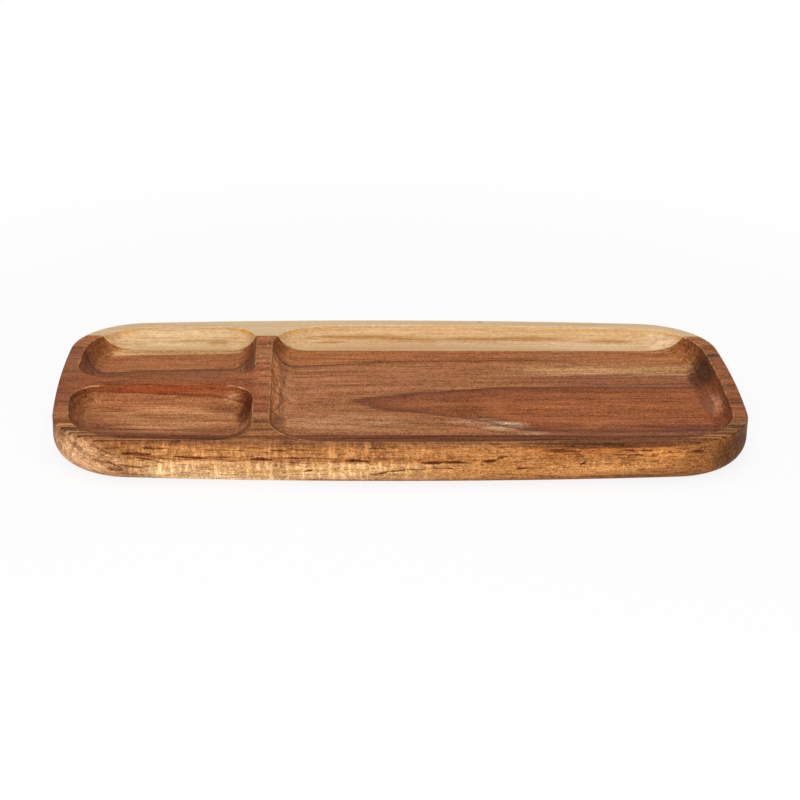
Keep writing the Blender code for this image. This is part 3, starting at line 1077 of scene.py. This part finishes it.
def paint_golden_side(wood, colours):
    """The golden front side, redder behind its streaks and browner to the right, with painted shade
    low down towards the right.
    """
    wires, x, z = wood.wires, wood.x, wood.z
    wood.colour = wires.mix(wires.ramp_up(x, -30.0, 50.0), opaque(colours.golden_left),
                            opaque(colours.golden_right))
    # Painted shade on the lower front side, where its round turns away from the light
    low = wires.ramp_down(z, 2.0, 5.5)
    wood.tint(wires.times(low, wires.ramp_up(x, -90.0, 40.0)), LOW_GOLD_PAINTED_SHADE)
    upper = wires.mix(wires.ramp_up(x, 50.0, 90.0), UPPER_GOLD_LEFT, UPPER_GOLD_RIGHT)
    wood.tint(wires.ramp_up(z, 18.0, 20.5), upper)
    behind = wires.between(z, 14.4, 16.4, 17.8, 19.8)
    wood.tint(wires.times(behind, wires.ramp_up(x, 0.0, 60.0, 0.85, 0.1)), BEHIND_STREAKS)


def draw_stripes(wood, layer, inland, colours):
    """Dark stripes by the joint, which run with the layers of the stave."""
    wires = wood.wires
    noise = wires.noise(wires.vector(wood.x, layer, 3.7), STRIPE_REACH, 3, 0.65)
    by_joint = wires.ramp_up(layer, -80.0, -68.0)
    more_low_down = wires.ramp_up(wood.z, 15.5, 21.0, 0.22, 0.04)
    stripe = wires.ramp_up(wires.math("MULTIPLY_ADD", by_joint, more_low_down, noise), 0.48, 0.58)
    wood.tint(wires.times(stripe, inland, 0.9), opaque(colours.stripe))


def draw_front_streaks(wood, colours):
    """Dark ragged streaks on the front side, and fine dashes between them."""
    wires, z = wood.wires, wood.z
    face = wires.ramp_down(wood.y, -93.0, -88.0)
    ragged = wires.shaken(wood.point, (6, 0, 1.6), wood.straight, STREAK_PUSH_REACH, 2)
    broken = wires.noise(wood.straight, STREAK_BREAK_REACH, 2, 0.6)
    broken = wires.ramp_up(broken, 0.34, 0.46, 0.55, 1.0)
    streaks = wood.streaks(ragged, FRONT_STREAKS, thicker=1.12)
    wood.tint(wires.times(streaks, face, broken), opaque(colours.streak))
    dashes = wires.noise(wood.point, DASH_REACH, 3, 0.6, 0.5)
    threshold = wires.plus(wires.ramp_up(z, 13.8, 15.8, 0.62, 0.54),
                           wires.ramp_up(z, 18.5, 20.5, 0.0, 0.035))
    dashed = wires.ramp_up(wires.math("SUBTRACT", dashes, threshold), 0.0, 0.06)
    wood.tint(wires.times(dashed, face, 0.65), DASHES)


def front_shimmer(wood):
    """The light bars, drifts and blisters of curly grain, mostly on the front side: the figure of the
    grain with a painted sheen.
    """
    wires, x = wood.wires, wood.x
    bars_here = wires.ramp_up(x, -20.0, 60.0, 1.0, 0.12)
    bars = wires.ramp_up(wires.noise(wood.straight, BAR_REACH, 2, 0.6), 0.46, 0.72, -0.1, 0.5)
    drift = wires.swing(wires.noise(wood.straight, DRIFT_REACH, 2, 0.6), 0.7)
    blister = wires.noise(wood.point, BLISTER_REACH, 3, 0.62, 1.5)
    blisters = wires.times(wires.math("SUBTRACT", blister, 0.5),
                           wires.ramp_up(x, -40.0, 50.0, 0.7, 1.9))
    shimmer = wires.plus(wires.times(bars, bars_here), wires.times(drift, bars_here), blisters)
    outside = wires.ramp_up(wood.y, -95.0, -88.0, 1.0, 0.1)
    return wires.times(shimmer, outside, wires.ramp_up(x, -172.0, -150.0, 0.5, 1.0))


def front_lines(wood, layer, inland):
    """Fine lines on the rim and the walls, and slanting ones below the front left corner."""
    wires, x = wood.wires, wood.x
    lines = wires.noise(wires.vector(x, layer, 8.2), RIM_LINE_REACH, 3, 0.6)
    slanting = wires.math("MULTIPLY_ADD", x, 0.42, wood.z)
    corner = wires.noise(wires.vector(slanting, wood.y, 4.4), CORNER_LINE_REACH, 3, 0.6)
    at_corner = wires.times(wires.ramp_down(x, -168.0, -146.0),
                            wires.ramp_down(wood.z, RIM - 3, RIM - 1))
    return wires.plus(wires.times(wires.swing(corner, 1.5), at_corner),
                      wires.times(wires.swing(lines, 3.0), inland))


def striped_heartwood_material(colours):
    """Heartwood that is striped by the joint and turns golden on the front side."""
    wood = Wood("striped_heartwood_oiled", bend=1.8)
    wires, y, z = wood.wires, wood.y, wood.z
    paint_golden_side(wood, colours)
    top = wires.math("MAXIMUM", wires.ramp_up(z, RIM - 1.6, RIM - 0.4),
                     wires.ramp_up(y, -97.0, -93.0))
    wood.tint(top, opaque(colours.front_rim))
    wood.lay_patches(FRONT_PATCHES)
    layer = wires.math("MULTIPLY_ADD", z, 0.35, wires.math("SUBTRACT", y, 0.35 * RIM))
    inland = wires.times(wires.ramp_up(y, -97.0, -92.0),
                         wires.ramp_up(wood.normal[2], 0.1, 0.6, 0.25, 1.0))
    draw_stripes(wood, layer, inland, colours)
    draw_front_streaks(wood, colours)
    gain = wires.plus(1.0, wood.marks(streaks=1.4, bands=0.8, mottle=0.6, speckle=1.4,
                                      flecks=0.15, pores=-0.3),
                      front_shimmer(wood), front_lines(wood, layer, inland))
    # Painted shade: faces turned to the right are darker
    gain = wires.times(gain, wires.ramp_up(wood.normal[0], 0.1, 0.9, 1.0, 0.8))
    # Sanding wear and a painted highlight on the eased edges, and a painted highlight along the large
    # compartment's front edge
    edge = wires.math("MAXIMUM", wood.arris_wear_and_highlight(),
                      wires.times(compartment_edge_highlight(wood), top, 0.8))
    wood.tint(wires.times(edge, 0.7), FRONT_EDGE_WEAR_AND_HIGHLIGHT)
    return wood.oiled(gain, OIL_ON_BROWN, HEARTWOOD_ROUGHNESS, HEARTWOOD_RELIEF)


# Streaks in the rear walls: X and Z of each end, thickness and strength
SAPWOOD_STREAKS = (
    ((-56, 19.2), (4, 18.9), 0.45, 0.7),
    ((-44, 18.5), (10, 18.3), 0.4, 0.7),
    ((-47, 16.6), (-32, 16.6), 0.4, 0.7),
    ((-8, 18.0), (28, 17.9), 0.4, 0.8),
    ((29, 17.8), (72, 18.1), 0.4, 0.8),
    ((62, 18.4), (108, 18.6), 0.4, 0.7),
    ((70, 17.5), (96, 17.7), 0.35, 0.7),
    ((124, 18.0), (150, 18.0), 0.4, 0.7),
    ((-141, 17.9), (-107, 18.0), 0.35, 0.6),
    ((-118, 16.9), (-104, 16.7), 0.4, 0.6),
)

# Patches of the rear stave: centre, reach, core, colour and strength
SAPWOOD_PATCHES = (
    ((-136, 84, 20.5), (46, 16, 6), 0.5, (230, 199, 156), 0.7),
    ((168, 78, 20), (14, 18, 8), 0.3, (236, 206, 166), 0.8),
    ((-24, 82, 18.9), (44, 24, 1.9), 0.2, (182, 130, 78), 0.8),
    ((-40, 80, 16.7), (16, 24, 1.0), 0.2, (178, 128, 76), 0.65),
    ((6, 80, 18.0), (30, 24, 2.0), 0.2, (184, 134, 82), 0.8),
    ((21, 80, 17.0), (9, 24, 1.6), 0.2, (188, 140, 90), 0.75),
    ((50, 80, 18.0), (36, 24, 1.8), 0.2, (184, 134, 82), 0.8),
    ((88, 80, 18.3), (36, 24, 1.8), 0.2, (184, 136, 84), 0.8),
    ((135, 80, 18.0), (26, 24, 1.5), 0.2, (186, 138, 86), 0.75),
    ((-124, 80, 17.9), (26, 24, 0.9), 0.2, (188, 142, 92), 0.5),
    ((-110, 80, 16.9), (10, 24, 1.4), 0.2, (178, 130, 80), 0.7),
    ((-5, 78, 15.6), (60, 12, 1.8), 0.4, (204, 162, 119), 0.8),
    ((125, 78, 15.8), (50, 18, 1.6), 0.4, (218, 185, 146), 0.8),
    ((55, 96, 24.5), (3, 1.2, 2), 0.2, (120, 84, 56), 0.8),
)

# How the ring noise of the sapwood runs: X, layer and seed
SAPWOOD_RINGS = (1 / 0.007, 1 / 0.75, 1)

# Tints of the sapwood
LOW_SAPWOOD = shade(208, 172, 128)
SAPWOOD_STREAK = shade(166, 114, 62)
HONEY_EDGE = shade(220, 160, 84)


def sapwood_material(colours):
    """Pale sapwood with brown streaks along the rear walls."""
    wood = Wood("sapwood_oiled", bend=1.2, grain_rate=0.45)
    wires, x, y, z = wood.wires, wood.x, wood.y, wood.z
    wall = wires.mix(wires.ramp_up(z, FLOOR + 1, FLOOR + 5.5), LOW_SAPWOOD,
                     opaque(colours.sapwood_wall))
    # The rim top takes the sapwood's tone with a painted sheen
    wood.colour = wires.mix(wires.ramp_up(z, RIM - 1.4, RIM - 0.2), wall,
                            opaque(colours.sapwood_rim_with_sheen))
    wood.lay_patches(SAPWOOD_PATCHES)
    broken = wood.broken_by("Streaks", 0.36, 0.56, 0.2)
    wood.tint(wires.times(wood.streaks(wood.point, SAPWOOD_STREAKS), broken), SAPWOOD_STREAK)
    edge = wires.times(wires.between(z, RIM - 3.2, RIM - 1.6, RIM - 0.8, RIM - 0.1),
                       wires.ramp_down(y, 94.0, 96.0),
                       wires.ramp_up(wood.across, 0.15, 0.45, 0.35, 0.8),
                       wood.broken_by("Bands", 0.38, 0.58, 0.3))
    wood.tint(edge, HONEY_EDGE)
    layer = wires.math("MULTIPLY_ADD", y, 0.35, z)
    rings = wires.noise(wires.vector(x, layer, 1.3), SAPWOOD_RINGS, 4, 0.65)
    middle = wires.between(z, FLOOR + 1.2, FLOOR + 2.4, FLOOR + 3.8, FLOOR + 5.2)
    ochre = wires.times(wires.ramp_up(rings, 0.5, 0.62),
                        wires.math("MULTIPLY_ADD", middle, 0.25, 0.22))
    wood.tint(ochre, opaque(colours.sapwood_ochre))
    marks = wood.marks(streaks=0.85, bands=0.55, mottle=0.12, speckle=0.5, flecks=0.06,
                       pores=-0.08)
    calm_on_top = wires.ramp_up(wood.normal[2], 0.9, 0.99, 1.0, 0.4)
    gain = wires.math("MULTIPLY_ADD", marks, calm_on_top, 1.0)
    gain = wires.times(gain, wood.end_grain_and_shade(0.1))
    return wood.oiled(gain, OIL_ON_PALE, SAPWOOD_ROUGHNESS, SAPWOOD_RELIEF)


def glue_material(colours):
    """Cured wood glue, brown from the oil, with a fine mottle."""
    wood = Wood("cured_glue")
    mottle = wood.wires.noise(wood.straight, GLUE_MOTTLE_REACH, 3, 0.6)
    wood.colour = wood.wires.mix(mottle, opaque(colours.glue_dark), opaque(colours.glue_light))
    gain = wood.wires.plus(1.0, wood.wires.swing(mottle, 0.6))
    return wood.finished(gain, OIL_ON_BROWN, GLUE_ROUGHNESS, mottle, GLUE_RELIEF)


class TRAY_OT_machine_board(bpy.types.Operator):
    """Machine the whole board: its outline, its compartments and its eased edges"""
    bl_idname = "tray.machine_board"
    bl_label = "Machine the board"

    def execute(self, context):
        board = context.scene.tray_board
        compartments = context.scene.tray_compartments
        steps = context.scene.tray_steps
        sides = board_sides(board, steps.side)
        points = plan_points(sides, [board.corner_radius] * len(sides), steps.corner)
        form = extruded_plan(BOARD_NAME, points, 0, board.thickness)
        round_lower_edge(form, board.underside_radius, steps.underside)
        cutters = []
        for name, (plan, radii) in compartment_plans(board, compartments, steps).items():
            cutter = compartment_cutter(name, plan, radii, board, compartments, steps)
            add_boolean(form, cutter, "DIFFERENCE")
            cutters.append(cutter)
        arris = form.modifiers.new("arris", "BEVEL")
        arris.limit_method = "ANGLE"
        arris.angle_limit = RIM_EDGE_ANGLE
        arris.width = board.arris_width
        arris.segments = steps.arris
        arris.use_clamp_overlap = False
        mesh = evaluated_mesh(form)
        form.modifiers.clear()
        form.data = mesh
        for cutter in cutters:
            bpy.data.objects.remove(cutter)
        return {"FINISHED"}


class TRAY_OT_staves(bpy.types.Operator):
    """Cut the three staves from the machined board and finish their woods"""
    bl_idname = "tray.staves"
    bl_label = "Cut the staves"

    def execute(self, context):
        wood = context.scene.tray_wood
        low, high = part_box("rear_stave")
        cut_stave("rear_stave", low.y, high.y + OVERRUN, sapwood_material(wood))
        low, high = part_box("middle_stave")
        cut_stave("middle_stave", low.y, high.y, heartwood_material(wood))
        low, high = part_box("front_stave")
        cut_stave("front_stave", low.y - OVERRUN, high.y, striped_heartwood_material(wood))
        return {"FINISHED"}


class TRAY_OT_glue_lines(bpy.types.Operator):
    """Fill the two joints between the staves with cured glue"""
    bl_idname = "tray.glue_lines"
    bl_label = "Fill the glue lines"

    def execute(self, context):
        material = glue_material(context.scene.tray_wood)
        for name in ("rear_glue_line", "front_glue_line"):
            low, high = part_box(name)
            cut_stave(name, low.y, high.y, material)
        return {"FINISHED"}


class TRAY_OT_studio(bpy.types.Operator):
    """Set up the pale floor, the soft lights and the camera"""
    bl_idname = "tray.studio"
    bl_label = "Set up the studio"

    def execute(self, context):
        studio = context.scene.tray_studio
        add_floor(studio)
        light_world(context.scene, studio)
        add_softbox("overhead_softbox", OVERHEAD_PLACE, OVERHEAD_SIZE, studio.overhead_power)
        add_softbox("front_softbox", FRONT_PLACE, FRONT_SIZE, studio.front_power)
        context.scene.camera = add_camera()
        context.scene.view_settings.view_transform = "Standard"
        return {"FINISHED"}


def seen_directly(wires):
    """One for what the camera, a reflection or clear glass shows, else nothing."""
    path = wires.node("ShaderNodeLightPath").outputs
    seen = wires.plus(path["Is Camera Ray"], path["Is Glossy Ray"])
    return wires.math("ADD", seen, path["Is Transmission Ray"], clamp=True)


def add_floor(studio):
    """A pale floor that reads as white paper and keeps the tray's soft shadow."""
    bm = bmesh.new()
    bmesh.ops.create_circle(bm, cap_ends=True, segments=FLOOR_SEGMENTS, radius=FLOOR_RADIUS)
    floor = add_object("studio_floor", built_mesh("studio_floor", bm))
    material, wires = node_material("studio_floor")
    paper = wires.node("ShaderNodeBsdfDiffuse", {"Color": opaque(studio.floor_colour)})
    glow = wires.node("ShaderNodeEmission")
    place = wires.node("ShaderNodeTexCoord").outputs["Object"]
    away = wires.ramp_up(wires.measure("LENGTH", place), *FLOOR_FADE, studio.floor_glow, 1.0)
    seen = wires.times(seen_directly(wires), away)
    mix = wires.node("ShaderNodeMixShader", {0: seen, 1: paper.outputs[0], 2: glow.outputs[0]})
    wires.node("ShaderNodeOutputMaterial", {"Surface": mix.outputs[0]})
    floor.data.materials.append(material)


def light_world(scene, studio):
    """White where it is seen, and a weaker even light on the tray."""
    world = bpy.data.worlds.new("studio")
    world.use_nodes = True
    world.node_tree.nodes.clear()
    wires = Wiring(world.node_tree)
    level = studio.room_light
    strength = wires.math("MULTIPLY_ADD", seen_directly(wires), 1.0 - level, level)
    glow = wires.node("ShaderNodeBackground", {"Color": opaque(WHITE), "Strength": strength})
    wires.node("ShaderNodeOutputWorld", {"Surface": glow.outputs[0]})
    scene.world = world


def add_softbox(name, place, size, power):
    """A square soft light that looks at the middle of the tray."""
    lamp = bpy.data.lights.new(name, "AREA")
    lamp.shape = "SQUARE"
    lamp.size = size
    lamp.energy = power
    softbox = add_object(name, lamp)
    softbox.location = place
    softbox.rotation_euler = (-Vector(place)).to_track_quat("-Z", "Y").to_euler()


WHITE = (1, 1, 1)

# Places and sizes of the two softboxes in metres
OVERHEAD_PLACE = (0.0, -0.1, 1.5)
OVERHEAD_SIZE = 1.3
FRONT_PLACE = (-0.25, -1.5, 0.75)
FRONT_SIZE = 1.0

# The floor reads as white paper near the tray and runs out into plain white
FLOOR_RADIUS = 3.0
FLOOR_SEGMENTS = 96
FLOOR_FADE = (0.26, 0.6)

# The camera in millimetres and degrees
CAMERA_TARGET = (2.101, 27.595, 0)
CAMERA_DISTANCE = 1292.534
CAMERA_ELEVATION = 22.594
CAMERA_YAW = 2.606
CAMERA_ROLL = 1.038
CAMERA_LENS = 95.537
SENSOR_WIDTH = 36
CLIP_START = 0.05


def add_camera():
    """The photograph's view, fitted to the tray's outline and its joints."""
    elevation = math.radians(CAMERA_ELEVATION)
    yaw = math.radians(CAMERA_YAW)
    roll = math.radians(CAMERA_ROLL)
    forward = Vector((math.sin(yaw) * math.cos(elevation),
                      math.cos(yaw) * math.cos(elevation), -math.sin(elevation)))
    right = Vector((math.cos(yaw), -math.sin(yaw), 0))
    up = right.cross(forward)
    rolled_right = right * math.cos(roll) + up * math.sin(roll)
    rolled_up = up * math.cos(roll) - right * math.sin(roll)
    place = (Vector(CAMERA_TARGET) - forward * CAMERA_DISTANCE) * MM
    data = bpy.data.cameras.new("photo_view")
    data.lens = CAMERA_LENS
    data.sensor_width = SENSOR_WIDTH
    data.clip_start = CLIP_START
    camera = add_object("photo_view", data)
    turn = Matrix((rolled_right, rolled_up, -forward)).transposed()
    camera.matrix_world = Matrix.Translation(place) @ turn.to_4x4()
    return camera


# The scene's property for each group, and the groups' titles in the sidebar
SETTINGS = (
    ("tray_board", TrayBoardSizes, "Board"),
    ("tray_compartments", TrayCompartmentSizes, "Compartments"),
    ("tray_steps", TrayCurveSteps, "Curves"),
    ("tray_wood", TrayWoodColours, "Woods"),
    ("tray_studio", TrayStudioSettings, "Studio"),
)

OPERATORS = (TRAY_OT_machine_board, TRAY_OT_staves, TRAY_OT_glue_lines, TRAY_OT_studio)


class TRAY_PT_sidebar(bpy.types.Panel):
    """The tray's steps in order, and the sizes and colours that they use"""
    bl_idname = "TRAY_PT_sidebar"
    bl_label = "Compartment Tray"
    bl_space_type = "VIEW_3D"
    bl_region_type = "UI"
    bl_category = "Tray"

    def draw(self, context):
        for operator in OPERATORS:
            self.layout.operator(operator.bl_idname)
        for attribute, group, title in SETTINGS:
            box = self.layout.box()
            box.label(text=title)
            for name in group.__annotations__:
                box.prop(getattr(context.scene, attribute), name)


CLASSES = (*(group for _, group, _ in SETTINGS), *OPERATORS, TRAY_PT_sidebar)


def register():
    for each in CLASSES:
        bpy.utils.register_class(each)
    for attribute, group, _ in SETTINGS:
        setattr(bpy.types.Scene, attribute, PointerProperty(type=group))


def unregister():
    for attribute, _, _ in SETTINGS:
        delattr(bpy.types.Scene, attribute)
    for each in reversed(CLASSES):
        bpy.utils.unregister_class(each)


def main():
    register()
    bpy.ops.tray.machine_board()
    bpy.ops.tray.staves()
    bpy.ops.tray.glue_lines()
    bpy.data.objects.remove(bpy.data.objects[BOARD_NAME])
    bpy.ops.tray.studio()
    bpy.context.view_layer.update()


if __name__ == "__main__":
    main()
